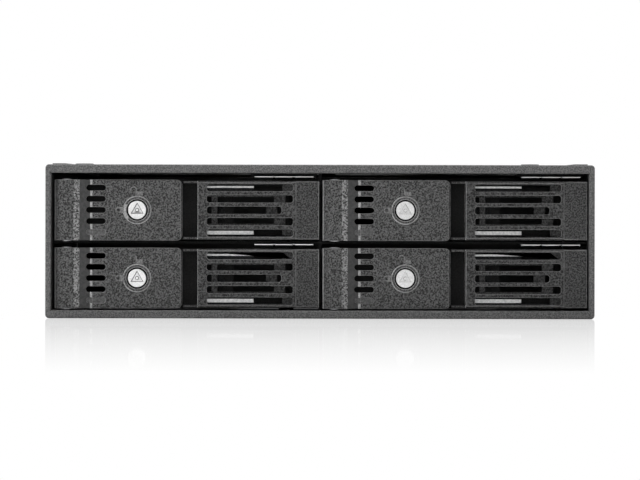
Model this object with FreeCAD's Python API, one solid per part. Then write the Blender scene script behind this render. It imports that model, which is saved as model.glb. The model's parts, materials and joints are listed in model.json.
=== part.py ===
"""Hot swap drive cage: four 2.5 inch drive trays in one half-height 5.25 inch bay.

Lengths are in millimetres. X runs across the front, Y from the front to the back, Z up. While a piece is
being built, Y = 0 is the front of the bezel. The finished pieces are moved so that the origin lies under
the middle of the whole cage. A tray's own X starts at its left edge and its own Z at its mid-height.
"""
import FreeCAD, Part
import math
import os

V = FreeCAD.Vector

# ---------------------------------------------------------------- the drive that a tray holds
drive_width = 69.85
drive_length = 100.2
drive_height = 9.5
drive_holes_across = 61.72
drive_holes_along = 76.6
drive_holes_inset = 14.0          # from the connector end
drive_side_gap = 0.075

# ---------------------------------------------------------------- sheet and running gaps
body_sheet = 0.8
shelf_sheet = 0.6
carrier_sheet = 0.6
carrier_inset = 0.25              # carrier side behind the edge of the tray front
tray_side_gap = 0.45
tray_middle_gap = 0.6
tray_bottom_gap = 0.38
tray_body_gap = 0.2               # tray front to the inside of the shell
run_gap = 0.15                    # tray above the shelf it slides over
skid_gap = 0.1
pin_gap = 0.05

# ---------------------------------------------------------------- bezel
bezel_depth = 6.0
bezel_overhang = 1.0              # bezel beyond the shell on each side
bezel_top_bar = 2.3
bezel_bottom_bar = 2.2
bezel_corner = 1.0
bezel_edge = 0.45
tongue_depth = 9.0
tongue_height = 0.8

# ---------------------------------------------------------------- tray front
tray_height = 16.5
spring_room = 1.1                 # above a tray, below the sheet over it
panel_face = 1.3
panel_thickness = 1.6
panel_trim = 0.35                 # panel lower than the lever, top and bottom
casting_depth = 9.4
casting_wall = 1.0
deck_face = 7.1                   # floor of the pan behind the lever
deck_thickness = 1.2
recess_width = 4.1
recess_lip = 0.7                  # panel above and below the finger recess
recess_floor = 8.6
recess_under_lever = 3.6
grille_left = 41.5
grille_right = 64.7
grille_short_right = 61.6
grille_corner = 0.4
grille_slot_height = 2.0
grille_pitch = 3.07
grille_count = 5
step_line = 65.5
step_depth = 0.18
rib_depth = 1.5
upright_left = 42.7
upright_width = 1.6
brace_left = 57.4                 # stepped brace behind the grille, at the middle slot
brace_step = 2.2
brace_width = 3.05
sill_show = 0.45                  # sill behind the second and fourth slots that shows in them
deck_inset = 0.3
back_vent_left = 19.0
back_vent_length = 10.0
back_vent_height = 3.0
back_vent_z = 4.5
screw_boss_length = 5.0
screw_tap_radius = 1.0
screw_tap_depth = 2.0

# ---------------------------------------------------------------- lever
lever_left = 0.3
lever_right = 34.9
lever_trim = 0.05
lever_face = 1.0
lever_plate = 1.6
lever_depth = 4.4
lever_wall = 1.2
lever_corner = 1.6
nose_radius = 3.3
nose_face = 0.1
block_end = 5.6
ridge_end = 7.2
slope_end = 10.0
crease_end = 10.6
slope_drop = 0.45
vent_left = 8.95
vent_length = 5.3
vent_height = 1.55
vent_pitch = 3.0
ear_cover = 0.8                   # lever above and below the tray's hinge ears
ear_width = 1.7
ear_radius = 2.0
ear_gap = 0.25
ear_arm = 2.0
pin_radius = 0.75
pin_head_radius = 1.3
pin_head_height = 0.2

# ---------------------------------------------------------------- lock
lock_x = 22.7
lock_radius = 2.45
lock_ring_outer = 3.7
lock_ring_inner = 2.9
lock_ring_proud = 0.3
lock_ring_sink = 1.2
lock_face_sink = 0.1
lock_boss_radius = 4.2
key_side = 3.2
key_depth = 0.9
key_post_radius = 0.45
shaft_radius = 1.3
cam_thickness = 0.8
cam_length = 6.2
cam_width = 2.6
cam_hub_radius = 2.6
keeper_gap = 0.3
keeper_sheet = 0.8
keeper_width = 5.0
keeper_cover = 1.8                # keeper's lip over the locked cam

# ---------------------------------------------------------------- bracket behind the grille
bracket_sheet = 0.6
bracket_right = 54.1
bracket_gap = 0.3
bracket_front = 3.3
bracket_upper_lip = 1.3
bracket_upper_lip_back = 0.9
bracket_lower_lip = 1.1
bracket_tab_length = 5.5
bracket_tab_half = 2.5

# ---------------------------------------------------------------- carrier
carrier_floor_drop = 0.25         # carrier floor above the lower edge of the tray
carrier_wall_top = 2.7
carrier_front_top = 6.5
drive_front_gap = 3.5
skid_height = 0.3
skid_width = 2.5
skid_inset = 8.0
pipe_size = 1.6
boss_radius = 2.4
air_width = 14.0
air_length = 26.0
air_corner = 3.0
front_window_left = (17.0, 48.5)
front_window_width = 15.0
front_window_half = 5.2
drive_screw_hole = 1.6
tray_screw_head_radius = 1.9
tray_screw_head_height = 1.1
tray_screw_radius = 0.95
tray_screw_hole = 1.15
tray_screw_grip = 1.8

# ---------------------------------------------------------------- cage behind the trays
board_gap = 5.0                   # end of the drive to the board
board_thickness = 1.6
board_edge_gap = 0.5
rear_space = 20.7                 # board to the rear panel
wall_start_gap = 0.6
flange_width = 6.0
bend_radius = 1.2
port_window_half = 24.5
port_window_margin = 5.0
window_corner = 1.5
board_window_width = 15.0
board_window_height = 5.5
board_window_low = 0.9            # above the tray's mid-height
standoff_x = 27.2
standoff_radius = 2.2
standoff_inset_z = 8.0
band_width = 10.0
band_height = 0.5
band_start = 16.0
band_end = 66.0

# ---------------------------------------------------------------- fans
fan_size = 40.0
fan_depth = 10.0
fan_hole_span = 32.0
fan_hole_radius = 1.75
fan_corner = 2.5
fan_bore = 18.9
fan_blade_tip = 18.2
fan_hub_radius = 10.8
fan_cup_radius = 11.5
fan_cup_depth = 1.5
fan_tube_radius = 2.2
fan_shaft_radius = 0.9
fan_blades = 7
fan_strut_width = 1.8
fan_strut_depth = 1.4
fan_flange = 2.2
blade_sweep = 8.2
blade_root_share = 0.65
blade_sheet = 0.9
fan_x = 50.0

# ---------------------------------------------------------------- outside mounting holes
mount_hole_radius = 1.5
mount_span_y = 79.25
mount_first = 47.4                # behind the bezel
mount_span_bottom = 139.7
mount_low_z = 10.0
mount_high_z = 21.84
mount_screw_room = 10.0           # notch in the shelves for the bay's screws

# ---------------------------------------------------------------- screws
screw_sides = 12
screw_head_radius = 2.5
screw_head_height = 0.5
bezel_screw_head_height = 0.35
screw_shank_radius = 1.4
screw_hole = 1.45
fan_screw_radius = 1.5
fan_screw_hole = 1.55
fan_screw_head_radius = 2.8
fan_screw_head_height = 1.6

# ---------------------------------------------------------------- worked out
carrier_width = drive_width + 2 * (drive_side_gap + carrier_sheet)
tray_width = carrier_width + 2 * carrier_inset
opening_width = 2 * tray_width + tray_middle_gap + 2 * tray_side_gap
shell_inside = tray_width + tray_middle_gap / 2 + tray_body_gap
body_half = shell_inside + body_sheet
bezel_half = body_half + bezel_overhang
row_pitch = tray_height + spring_room + shelf_sheet + run_gap
lower_row = bezel_bottom_bar + tray_bottom_gap + tray_height / 2
upper_row = lower_row + row_pitch
sheet_over = tray_height / 2 + spring_room
opening_top = upper_row + tray_height / 2 + spring_room + shelf_sheet + 0.05
body_height = opening_top + bezel_top_bar
cover_under = body_height - body_sheet
column_left = (-tray_middle_gap / 2 - tray_width, tray_middle_gap / 2)
trays = {
    "tray1": (column_left[0], upper_row),
    "tray2": (column_left[1], upper_row),
    "tray3": (column_left[0], lower_row),
    "tray4": (column_left[1], lower_row),
}
run_level = -tray_height / 2 - run_gap          # sheet under a tray, in the tray's own Z
skid_bottom = run_level + skid_gap
carrier_bottom = skid_bottom + skid_height
carrier_top = carrier_bottom + carrier_sheet
carrier_left = carrier_inset
carrier_right = tray_width - carrier_inset
carrier_front = casting_depth
drive_front = casting_depth + carrier_sheet + drive_front_gap
drive_back = drive_front + drive_length
carrier_back = drive_back - 1.2
board_front = drive_back + board_gap
board_back = board_front + board_thickness
rear_front = board_back + rear_space
rear_back = rear_front + body_sheet
fan_back = rear_back + fan_depth
overall_depth = fan_back + fan_screw_head_height
wall_start = casting_depth + wall_start_gap
mid_z = body_height / 2
fan_places = (-fan_x, fan_x)
fan_holes = [(x + dx * fan_hole_span / 2, mid_z + dz * fan_hole_span / 2)
             for x in fan_places for dx in (-1, 1) for dz in (-1, 1)]
pin_x = lever_left + nose_radius
nose_right = pin_x + nose_radius
pin_y = nose_face + nose_radius
panel_left = lever_right + recess_width
panel_half = tray_height / 2 - panel_trim
recess_height = 2 * (panel_half - recess_lip)
bracket_half_height = panel_half - casting_wall - bracket_gap
lever_half = tray_height / 2 - lever_trim
ear_outer = lever_half - ear_cover
ear_inner = ear_outer - ear_width
cam_front = lever_depth + 0.1
grille_rows = [(i - (grille_count - 1) / 2) * grille_pitch for i in range(grille_count)]
vent_rows = [(i - (grille_count - 1) / 2) * vent_pitch for i in range(grille_count)]
pipe_x = vent_left + vent_length / 2
pipe_z = vent_rows[0]
rail_x = carrier_left + 1.2
rail_z = carrier_wall_top + pipe_size / 2


# ---------------------------------------------------------------- shape helpers
def box(x0, x1, y0, y1, z0, z1):
    return Part.makeBox(x1 - x0, y1 - y0, z1 - z0, V(x0, y0, z0))


def rod_y(x, z, radius, y0, y1):
    return Part.makeCylinder(radius, y1 - y0, V(x, y0, z), V(0, 1, 0))


def rod_z(x, y, radius, z0, z1):
    return Part.makeCylinder(radius, z1 - z0, V(x, y, z0), V(0, 0, 1))


def rod_x(y, z, radius, x0, x1):
    return Part.makeCylinder(radius, x1 - x0, V(x0, y, z), V(1, 0, 0))


def join(shapes):
    return shapes[0].multiFuse(shapes[1:]).removeSplitter()


def less(shape, tools):
    return shape.cut(Part.makeCompound(tools)) if tools else shape


def plate(points, direction):
    """A flat outline of corner points, pushed along a direction."""
    return Part.Face(Part.makePolygon([V(*p) for p in points + points[:1]])).extrude(V(*direction))


def slot_y(x0, x1, z, height, y0, y1):
    """A slot with round ends, cut along Y."""
    end = height / 2
    return join([
        box(x0 + end, x1 - end, y0, y1, z - end, z + end),
        rod_y(x0 + end, z, end, y0, y1),
        rod_y(x1 - end, z, end, y0, y1),
    ])


def window(x0, x1, y0, y1, z0, z1, corner):
    """A box whose four edges along Z are cut off."""
    outline = [
        (x0 + corner, y0, z0), (x1 - corner, y0, z0), (x1, y0 + corner, z0), (x1, y1 - corner, z0),
        (x1 - corner, y1, z0), (x0 + corner, y1, z0), (x0, y1 - corner, z0), (x0, y0 + corner, z0),
    ]
    return plate(outline, (0, 0, z1 - z0))


def soft_box_y(x0, x1, y0, y1, z0, z1, radius):
    """A box whose four edges along Y are rounded."""
    block = box(x0, x1, y0, y1, z0, z1)
    along = [e for e in block.Edges if abs(e.tangentAt(e.FirstParameter).y) > 0.99]
    return block.makeFillet(radius, along)


def stub(radius, length, start, axis):
    """A straight bar with screw_sides sides."""
    turns = [FreeCAD.Rotation(axis, 360 * i / screw_sides) for i in range(screw_sides)]
    ring = [start + turn.multVec(V(radius, 0, 0)) for turn in turns]
    return Part.Face(Part.makePolygon(ring + ring[:1])).extrude(axis * length)


def screw(x, y, z, direction, head_radius, head_height, shank_radius, shank_length):
    """The head's flat seat is at the point, the shank runs along the direction."""
    axis = V(*direction)
    seat = V(x, y, z)
    head = stub(head_radius, head_height, seat, axis.negative())
    return head.fuse(stub(shank_radius, shank_length, seat, axis)).removeSplitter()


def in_tray(shape, name):
    moved = shape.copy()
    left, middle = trays[name]
    moved.translate(V(left, 0, middle))
    return moved


def in_all(shape):
    return Part.makeCompound([in_tray(shape, name) for name in trays])


# ---------------------------------------------------------------- tray pieces
def grille_slot(row):
    """The middle slot is shorter than the others."""
    half = grille_slot_height / 2
    z = grille_rows[row]
    right = grille_short_right if row == grille_count // 2 else grille_right
    y0 = panel_face - 1
    outline = [
        (grille_left, y0, z - half + grille_corner),
        (grille_left + grille_corner, y0, z - half),
        (right - grille_corner, y0, z - half),
        (right, y0, z - half + grille_corner),
        (right, y0, z + half - grille_corner),
        (right - grille_corner, y0, z + half),
        (grille_left + grille_corner, y0, z + half),
        (grille_left, y0, z + half - grille_corner),
    ]
    return plate(outline, (0, panel_thickness + 1.01, 0))


def grille_back():
    """Behind the bars: an upright at the left, two sills, and a brace that steps to the right by rows."""
    y0 = panel_face + panel_thickness
    y1 = y0 + rib_depth
    middle = grille_count // 2
    sill_inner = grille_rows[middle + 1] + grille_slot_height / 2 - sill_show
    sill_outer = (grille_rows[middle + 1] + grille_rows[middle + 2]) / 2
    pieces = [box(upright_left, upright_left + upright_width, y0, y1, -sill_outer, sill_outer)]
    for low, high in ((sill_inner, sill_outer), (-sill_outer, -sill_inner)):
        pieces.append(box(upright_left - 1.0, grille_short_right, y0, y1, low, high))
    for row, z in enumerate(grille_rows):
        left = brace_left + brace_step * abs(row - middle)
        half = grille_pitch / 2
        pieces.append(box(left, left + brace_width, y0, y1, z - half, z + half))
    return pieces


def tray_front():
    face, back, half = panel_face, panel_face + panel_thickness, panel_half
    edge = 0.4
    section = [
        (panel_left, face + edge, -half),
        (panel_left, face, -half + edge),
        (panel_left, face, half - edge),
        (panel_left, face + edge, half),
        (panel_left, casting_depth, half),
        (panel_left, casting_depth, -half),
    ]
    grille_block = plate(section, (tray_width - panel_left, 0, 0))
    inner = half - casting_wall
    recess_half = recess_height / 2
    lips = box(lever_right + 0.2, panel_left, face, casting_depth, -half, half)
    side_pan = box(nose_right + 0.4, panel_left, lever_depth + 0.4, casting_depth, -half, half)
    deck = box(deck_inset, panel_left, deck_face, casting_depth, -half, half)
    body = join([grille_block, lips, side_pan, deck])
    slope_x = lever_right - recess_under_lever
    recess = plate([
        (slope_x, face - 1, -recess_half),
        (slope_x, deck_face, -recess_half),
        (lever_right, recess_floor, -recess_half),
        (panel_left, recess_floor, -recess_half),
        (panel_left, face - 1, -recess_half),
    ], (0, 0, recess_height))
    vent_half = back_vent_height / 2
    vents = [box(back_vent_left, back_vent_left + back_vent_length, deck_face - 1, casting_depth,
                 z - vent_half, z + vent_half) for z in (-back_vent_z, back_vent_z)]
    body = less(body, [
        box(panel_left + casting_wall, tray_width - casting_wall, back, casting_depth + 1, -inner, inner),
        box(nose_right, lever_right, face - 1, deck_face, -recess_half, recess_half),
        recess,
        box(1.5, slope_x - casting_wall, deck_face + deck_thickness, casting_depth + 1, -inner, inner),
        box(step_line, tray_width + 1, face - 1, face + step_depth, -half - 1, half + 1),
        box(vent_left - 0.1, vent_left + vent_length + 0.1, deck_face - 1, casting_depth + 1,
            pipe_z - vent_height / 2 - 0.1, pipe_z + vent_height / 2 + 0.1),
    ] + vents)
    post_x = lock_x - cam_length - 1.0 - keeper_sheet
    lip_back = cam_front - keeper_gap
    keeper_half = keeper_width / 2
    lip_front = lip_back - keeper_sheet
    keeper = join([
        box(post_x, post_x + keeper_sheet, lip_front, deck_face + 0.1, -keeper_half, keeper_half),
        box(post_x, lock_x - cam_length + keeper_cover, lip_front, lip_back, -keeper_half, keeper_half),
    ])
    parts = [body, keeper] + grille_back()
    for side in (-1, 1):
        low, high = sorted((side * ear_inner, side * ear_outer))
        parts.append(rod_z(pin_x, pin_y, ear_radius, low, high))
        parts.append(box(pin_x - 0.2, pin_x + ear_arm, pin_y, deck_face + 0.1, low, high))
    for x, z in screw_places:
        front = casting_depth - screw_boss_length if x > panel_left else deck_face
        parts.append(rod_y(x, z, boss_radius, front, casting_depth))
    body = join(parts)
    tools = [grille_slot(row) for row in range(grille_count)]
    tools.append(rod_z(pin_x, pin_y, pin_radius + 0.03, -half - 1, half + 1))
    for x, z in screw_places:
        tools.append(rod_y(x, z, screw_tap_radius, casting_depth - screw_tap_depth, casting_depth + 1))
    return less(body, tools)


screw_places = ((9.5, 3.5), (tray_width - 3.0, 0.0))


def lever():
    face, length = lever_face, lever_right
    nose = Part.Arc(
        V(lever_left, pin_y, 0),
        V(pin_x - nose_radius * math.sqrt(0.5), pin_y - nose_radius * math.sqrt(0.5), 0),
        V(pin_x, nose_face, 0),
    ).toShape()
    points = [
        (pin_x, nose_face),
        (block_end, nose_face),
        ((block_end + ridge_end) / 2, nose_face - 0.1),
        (ridge_end, nose_face + 0.2),
        (slope_end, face + slope_drop),
        (crease_end, face),
        (length - 0.4, face),
        (length, face + 0.4),
        (length, lever_depth),
        (nose_right, lever_depth),
        (nose_right, pin_y),
        (lever_left, pin_y),
    ]
    line = Part.makePolygon([V(x, y, 0) for x, y in points])
    outline = Part.Face(Part.Wire([nose] + line.Edges))
    body = outline.extrude(V(0, 0, 2 * lever_half))
    body.translate(V(0, 0, -lever_half))
    corners = [
        e for e in body.Edges
        if abs(e.tangentAt(e.FirstParameter).y) > 0.99 and e.BoundBox.XMin > length - 0.01
    ]
    body = body.makeFillet(lever_corner, corners)
    body = join([body, rod_z(pin_x, pin_y, nose_radius, -lever_half, lever_half)])
    plate_back = face + lever_plate
    inner = lever_half - lever_wall
    ear_low, ear_high = ear_inner - ear_gap, ear_outer + ear_gap
    ear_end = nose_right + 1.6
    tools = []
    for side in (-1, 1):
        low, high = sorted((side * ear_low, side * ear_high))
        tools.append(rod_z(pin_x, pin_y, ear_radius + 0.35, low, high))
        tools.append(box(-1, ear_end, pin_y, lever_depth + 4, low, high))
        tools.append(box(pin_x, ear_end, plate_back, lever_depth + 4, low, high))
    tools.append(box(ear_end, length - lever_wall, plate_back, lever_depth + 1, -inner, inner))
    body = less(body, tools)
    boss = rod_y(lock_x, 0, lock_boss_radius, plate_back - 0.1, lever_depth)
    ring = rod_y(lock_x, 0, lock_ring_outer, face - lock_ring_proud, face + 0.1)
    body = join([body, boss, ring])
    vent_right = vent_left + vent_length
    holes = [slot_y(vent_left, vent_right, z, vent_height, -1, plate_back + 1) for z in vent_rows]
    holes.append(rod_y(lock_x, 0, lock_ring_inner, face - 1, face + lock_ring_sink))
    holes.append(rod_y(lock_x, 0, lock_radius + pin_gap, 0, lever_depth + 1))
    holes.append(rod_z(pin_x, pin_y, pin_radius + pin_gap, -lever_half - 1, lever_half + 1))
    return less(body, holes)


def lever_pin():
    """The pin runs through the whole lever and has a flat riveted head at each end."""
    end = lever_half + pin_head_height
    heads = [rod_z(pin_x, pin_y, pin_head_radius, low, high)
             for low, high in ((-end, -lever_half), (lever_half, end))]
    return join([rod_z(pin_x, pin_y, pin_radius, -end, end)] + heads)


def lock():
    front = lever_face - lock_ring_proud + lock_face_sink
    barrel = rod_y(lock_x, 0, lock_radius, front, cam_front)
    shaft = rod_y(lock_x, 0, shaft_radius, cam_front, cam_front + cam_thickness)
    rivet = rod_y(lock_x, 0, shaft_radius + 0.4, cam_front + cam_thickness, cam_front + cam_thickness + 0.6)
    around = key_side / math.sqrt(3)
    corners = [
        (lock_x + around * math.sin(math.radians(a)), front - 1, around * math.cos(math.radians(a)))
        for a in (0, 120, 240)
    ]
    body = less(join([barrel, shaft, rivet]), [plate(corners, (0, 1 + key_depth, 0))])
    return join([body, rod_y(lock_x, 0, key_post_radius, front + 0.15, front + key_depth + 0.1)])


def lock_cam():
    y0, y1 = cam_front, cam_front + cam_thickness
    end = cam_width / 2
    tongue = join([
        rod_y(lock_x, 0, cam_hub_radius, y0, y1),
        box(lock_x - end, lock_x + end, y0, y1, 0, cam_length - end),
        rod_y(lock_x, cam_length - end, end, y0, y1),
    ])
    return less(tongue, [rod_y(lock_x, 0, shaft_radius, y0 - 1, y1 + 1)])


def lens():
    """It fills the lowest vent and follows the bend of the lever's face."""
    gap, set_back = 0.03, 0.05
    body = slot_y(vent_left + gap, vent_left + vent_length - gap, pipe_z, vent_height - 2 * gap,
                  0, lever_face + lever_plate)
    in_front = plate([
        (ridge_end, -1, pipe_z - 1),
        (ridge_end, nose_face + 0.2 + set_back, pipe_z - 1),
        (slope_end, lever_face + slope_drop + set_back, pipe_z - 1),
        (crease_end, lever_face + set_back, pipe_z - 1),
        (lock_x, lever_face + set_back, pipe_z - 1),
        (lock_x, -1, pipe_z - 1),
    ], (0, 0, 2))
    return body.cut(in_front)


def light_pipe():
    """A clear bar from behind the lens, over the carrier's side wall, to the light on the board."""
    half = pipe_size / 2
    turn_front = carrier_front + carrier_sheet + 0.3
    turn_back = turn_front + pipe_size
    nib = slot_y(vent_left + 0.1, vent_left + vent_length - 0.1, pipe_z, vent_height - 0.2,
                 lever_depth + 0.4, turn_back)
    lower = box(vent_left + 0.9, vent_left + 0.9 + 2.4, turn_front, turn_back, pipe_z - 0.7, pipe_z + 0.7)
    climb = plate([
        (rail_x - half, turn_front, rail_z + half),
        (rail_x + half, turn_front, rail_z + half),
        (vent_left + 3.3, turn_front, pipe_z + 0.7),
        (vent_left + 0.9, turn_front, pipe_z + 0.7),
        (carrier_left + carrier_sheet + 0.1, turn_front, rail_z - half),
    ], (0, pipe_size, 0))
    rail = box(rail_x - half, rail_x + half, turn_front, board_front - 1.6, rail_z - half, rail_z + half)
    return join([nib, lower, climb, rail])


def bracket():
    """A channel: a thin lip shows above, a broad one below."""
    web_x = panel_left + casting_wall + 0.05
    half, back, sheet = bracket_half_height, casting_depth - 0.05, bracket_sheet
    lip_front = bracket_front + bracket_upper_lip_back
    tab_half = bracket_tab_half
    pieces = [
        box(web_x, web_x + sheet, bracket_front, back, -half, half),
        box(web_x, bracket_right, bracket_front, back, half - sheet, half),
        box(web_x, bracket_right, bracket_front, back, -half, -half + sheet),
        box(web_x, bracket_right, lip_front, lip_front + sheet, half - sheet - bracket_upper_lip, half),
        box(web_x, bracket_right, bracket_front, bracket_front + sheet, -half, -half + bracket_lower_lip),
        box(web_x, web_x + sheet + bracket_tab_length, back - sheet, back, -tab_half, tab_half),
    ]
    return less(join(pieces), [rod_y(bracket_screw_x, 0, screw_tap_radius, back - 2, back + 1)])


bracket_screw_x = panel_left + casting_wall + bracket_sheet + 3.0


def carrier():
    left, right = carrier_left, carrier_right
    bottom, top, sheet = carrier_bottom, carrier_top, carrier_sheet
    floor = box(left, right, carrier_front, carrier_back, bottom, top)
    sides = [box(x, x + sheet, carrier_front, carrier_back, bottom, carrier_wall_top)
             for x in (left, right - sheet)]
    front = box(left, right, carrier_front, carrier_front + sheet, bottom, carrier_front_top)
    skids = [box(x, x + skid_width, drive_front, carrier_back - 4, skid_bottom, bottom)
             for x in (skid_inset, tray_width - skid_inset - skid_width)]
    body = join([floor, front] + sides + skids)
    middle = tray_width / 2
    y0, y1 = carrier_front - 1, carrier_front + 1
    air = [soft_box_y(x, x + front_window_width, y0, y1, -front_window_half, front_window_half, window_corner)
           for x in front_window_left]
    air.append(box(vent_left - 0.1, vent_left + vent_length + 0.1, y0, y1,
                   pipe_z - vent_height / 2 - 0.1, pipe_z + vent_height / 2 + 0.1))
    for x in (middle - 1.75 * air_width, middle - air_width / 2, middle + 0.75 * air_width):
        for y in (drive_front + 18, drive_front + 52):
            air.append(window(x, x + air_width, y, y + air_length, bottom - 1, top + 1, air_corner))
    for x in (middle - drive_holes_across / 2, middle + drive_holes_across / 2):
        for y in (drive_back - drive_holes_inset, drive_back - drive_holes_inset - drive_holes_along):
            air.append(rod_z(x, y, drive_screw_hole, bottom - 1, top + 1))
    for x, z in screw_places + ((bracket_screw_x, 0),):
        air.append(rod_y(x, z, tray_screw_hole, y0, y1))
    return less(body, air)


def tray_screw(x, z, grip):
    return screw(x, carrier_front + carrier_sheet, z, (0, -1, 0), tray_screw_head_radius,
                 tray_screw_head_height, tray_screw_radius, carrier_sheet + grip)


def tray_screws():
    places = [(x, z, tray_screw_grip) for x, z in screw_places] + [(bracket_screw_x, 0, bracket_sheet)]
    return Part.makeCompound([tray_screw(*place) for place in places])


# ---------------------------------------------------------------- cage pieces
def front_bezel():
    block = soft_box_y(-bezel_half, bezel_half, 0, bezel_depth, 0, body_height, bezel_corner)
    half = opening_width / 2
    hole = box(-half, half, -1, bezel_depth + 1, bezel_bottom_bar, opening_top)
    ring = block.cut(hole)
    front = [e for e in ring.Edges if e.BoundBox.YMax < 0.01]
    ring = ring.makeFillet(bezel_edge, front)
    tongue_half = shell_inside - flange_width
    back = bezel_depth + tongue_depth
    tongues = [
        box(-tongue_half, tongue_half, bezel_depth - 1, back, cover_under - tongue_height, cover_under),
        box(-tongue_half, tongue_half, bezel_depth - 1, back, body_sheet, body_sheet + tongue_height),
    ]
    holes = [rod_z(x, bezel_screw_y, screw_hole, -1, body_height + 1) for x in bezel_screws_x]
    for left in column_left:
        x0 = left + spring_left
        holes.append(box(x0 - 1.2, x0 + spring_width + 1.2, pad_front - 0.2, back + 1,
                         cover_under - tongue_height - 1, cover_under + 0.01))
    return less(join([ring] + tongues), holes)


bezel_screw_y = bezel_depth + 5.0
bezel_screws_x = (57.0, -64.0)


def side_mount_places():
    first = bezel_depth + mount_first
    return [(y, z) for y in (first, first + mount_span_y) for z in (mount_low_z, mount_high_z)]


def chassis_shell():
    outside = box(-body_half, body_half, bezel_depth, rear_back, 0, cover_under)
    bottom = [
        e for e in outside.Edges
        if abs(e.tangentAt(e.FirstParameter).y) > 0.99 and e.BoundBox.ZMax < 0.01
    ]
    outside = outside.makeFillet(bend_radius, bottom)
    inside = box(-shell_inside, shell_inside, bezel_depth - 1, rear_back + 1, body_sheet, cover_under + 1)
    shell = outside.cut(inside)
    flanges = [
        box(min(s * shell_inside, s * (shell_inside - flange_width)),
            max(s * shell_inside, s * (shell_inside - flange_width)),
            bezel_depth + tongue_depth + 1, rear_back, cover_under - body_sheet, cover_under)
        for s in (-1, 1)
    ]
    runner_top = lower_row + run_level
    runners = []
    for left in column_left:
        for inset in (skid_inset, tray_width - skid_inset - skid_width):
            runners.append(box(left + inset - 0.5, left + inset + skid_width + 0.5,
                               bezel_depth + tongue_depth + 2, board_front - 6, body_sheet - 0.1, runner_top))
    shell = join([shell] + flanges + runners)
    tools = []
    for y, z in side_mount_places():
        tools.append(rod_x(y, z, mount_hole_radius, -body_half - 1, body_half + 1))
    first = bezel_depth + mount_first
    for x in (-mount_span_bottom / 2, mount_span_bottom / 2):
        for y in (first, first + mount_span_y):
            tools.append(rod_z(x, y, mount_hole_radius, -1, body_sheet + 1))
    for x, y in cover_screws_at:
        tools.append(rod_z(x, y, screw_hole, cover_under - 2, cover_under + 1))
    for x in bezel_screws_x:
        tools.append(rod_z(x, bezel_screw_y, screw_head_radius + 0.1, -1, body_sheet + 0.01))
    for y in tab_places:
        for x in (-body_half, body_half):
            tools.append(box(x - 1, x + 1, y - tab_length / 2, y + tab_length / 2,
                             shelf_bottom, shelf_bottom + shelf_sheet))
    return less(shell, tools)


tab_length = 8.0
shelf_bottom = lower_row + sheet_over
tab_places = [bezel_depth + mount_first + share * mount_span_y for share in (-0.295, 0.26, 0.69)]
cover_screws_at = [(s * (shell_inside - flange_width / 2), y)
                   for s in (-1, 1) for y in (band_end + 9.0, band_end + 59.0)]


def spring_pad(under, thickness):
    """A pad pressed down in the cover, over one bay's spring."""
    return box(spring_left - 1, spring_left + spring_width + 1, pad_front, pad_front + pad_length,
               under, under + thickness)


spring_left = 54.2
spring_width = 16.0
spring_sheet = 0.3
spring_lift = 0.35
spring_front = 7.0
spring_seat = 11.0
spring_back = 15.5
pad_front = 10.2
pad_length = 5.5


def top_cover():
    half = body_half
    lid = box(-half, half, bezel_depth, rear_back, cover_under, body_height)
    pieces = [lid]
    pad_under = upper_row + sheet_over
    wells = []
    for left in column_left:
        pad = spring_pad(pad_under, cover_under - pad_under + 0.1)
        pad.translate(V(left, 0, 0))
        pieces.append(pad)
        well = box(left + spring_left - 0.2, left + spring_left + spring_width + 0.2,
                   pad_front + body_sheet, pad_front + pad_length - body_sheet,
                   pad_under + body_sheet, body_height + 1)
        wells.append(well)
    for side in (-1, 1):
        outline = [
            (side * half, band_start, body_height - 0.1),
            (side * half, band_start, body_height + band_height),
            (side * (half - 0.35 * band_width), band_start, body_height + band_height),
            (side * (half - band_width), band_start, body_height - 0.1),
        ]
        pieces.append(plate(outline, (0, band_end - band_start, 0)))
    tools = wells + [rod_z(x, y, screw_hole, cover_under - 1, body_height + 1)
                     for x, y in cover_screws_at + [(x, bezel_screw_y) for x in bezel_screws_x]]
    for row in range(cover_vent_rows):
        y = rear_front - cover_vent_from_rear + row * cover_vent_row_pitch
        for column in range(-2, 3):
            x = column * cover_vent_column_pitch - cover_vent_length / 2
            tools.append(box(x, x + cover_vent_length, y, y + cover_vent_width,
                             cover_under - 1, body_height + 1))
    return less(join(pieces), tools)


cover_vent_rows = 5
cover_vent_from_rear = 36.0
cover_vent_row_pitch = 6.0
cover_vent_column_pitch = 24.0
cover_vent_length = 18.0
cover_vent_width = 2.4


def centre_wall():
    half = body_sheet / 2
    back = board_front - 0.2
    wall = box(-half, half, wall_start, back, body_sheet, cover_under)
    foot = box(-half, half + 4, bezel_depth + tongue_depth + 2, back, body_sheet, 2 * body_sheet)
    head = box(-half, half + 4, bezel_depth + tongue_depth + 2, back, cover_under - body_sheet, cover_under)
    notches = [
        box(-1, 5, wall_start - 1, bezel_depth + tongue_depth + 0.3, body_sheet - 1,
            body_sheet + tongue_height + 0.2),
        box(-1, 5, wall_start - 1, bezel_depth + tongue_depth + 0.3, cover_under - tongue_height - 0.2,
            cover_under + 1),
    ]
    slots = [box(-1, 1, y - tab_length / 2, y + tab_length / 2, shelf_bottom, shelf_bottom + shelf_sheet)
             for y in tab_places]
    vents = []
    for y in (30.0, 55.0, 80.0):
        for z in (lower_row + 4.0, upper_row + 4.0):
            vents.append(box(-1, 1, y, y + 14, z - 2, z + 2))
    return less(join([wall, foot, head]), notches + slots + vents)


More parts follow.
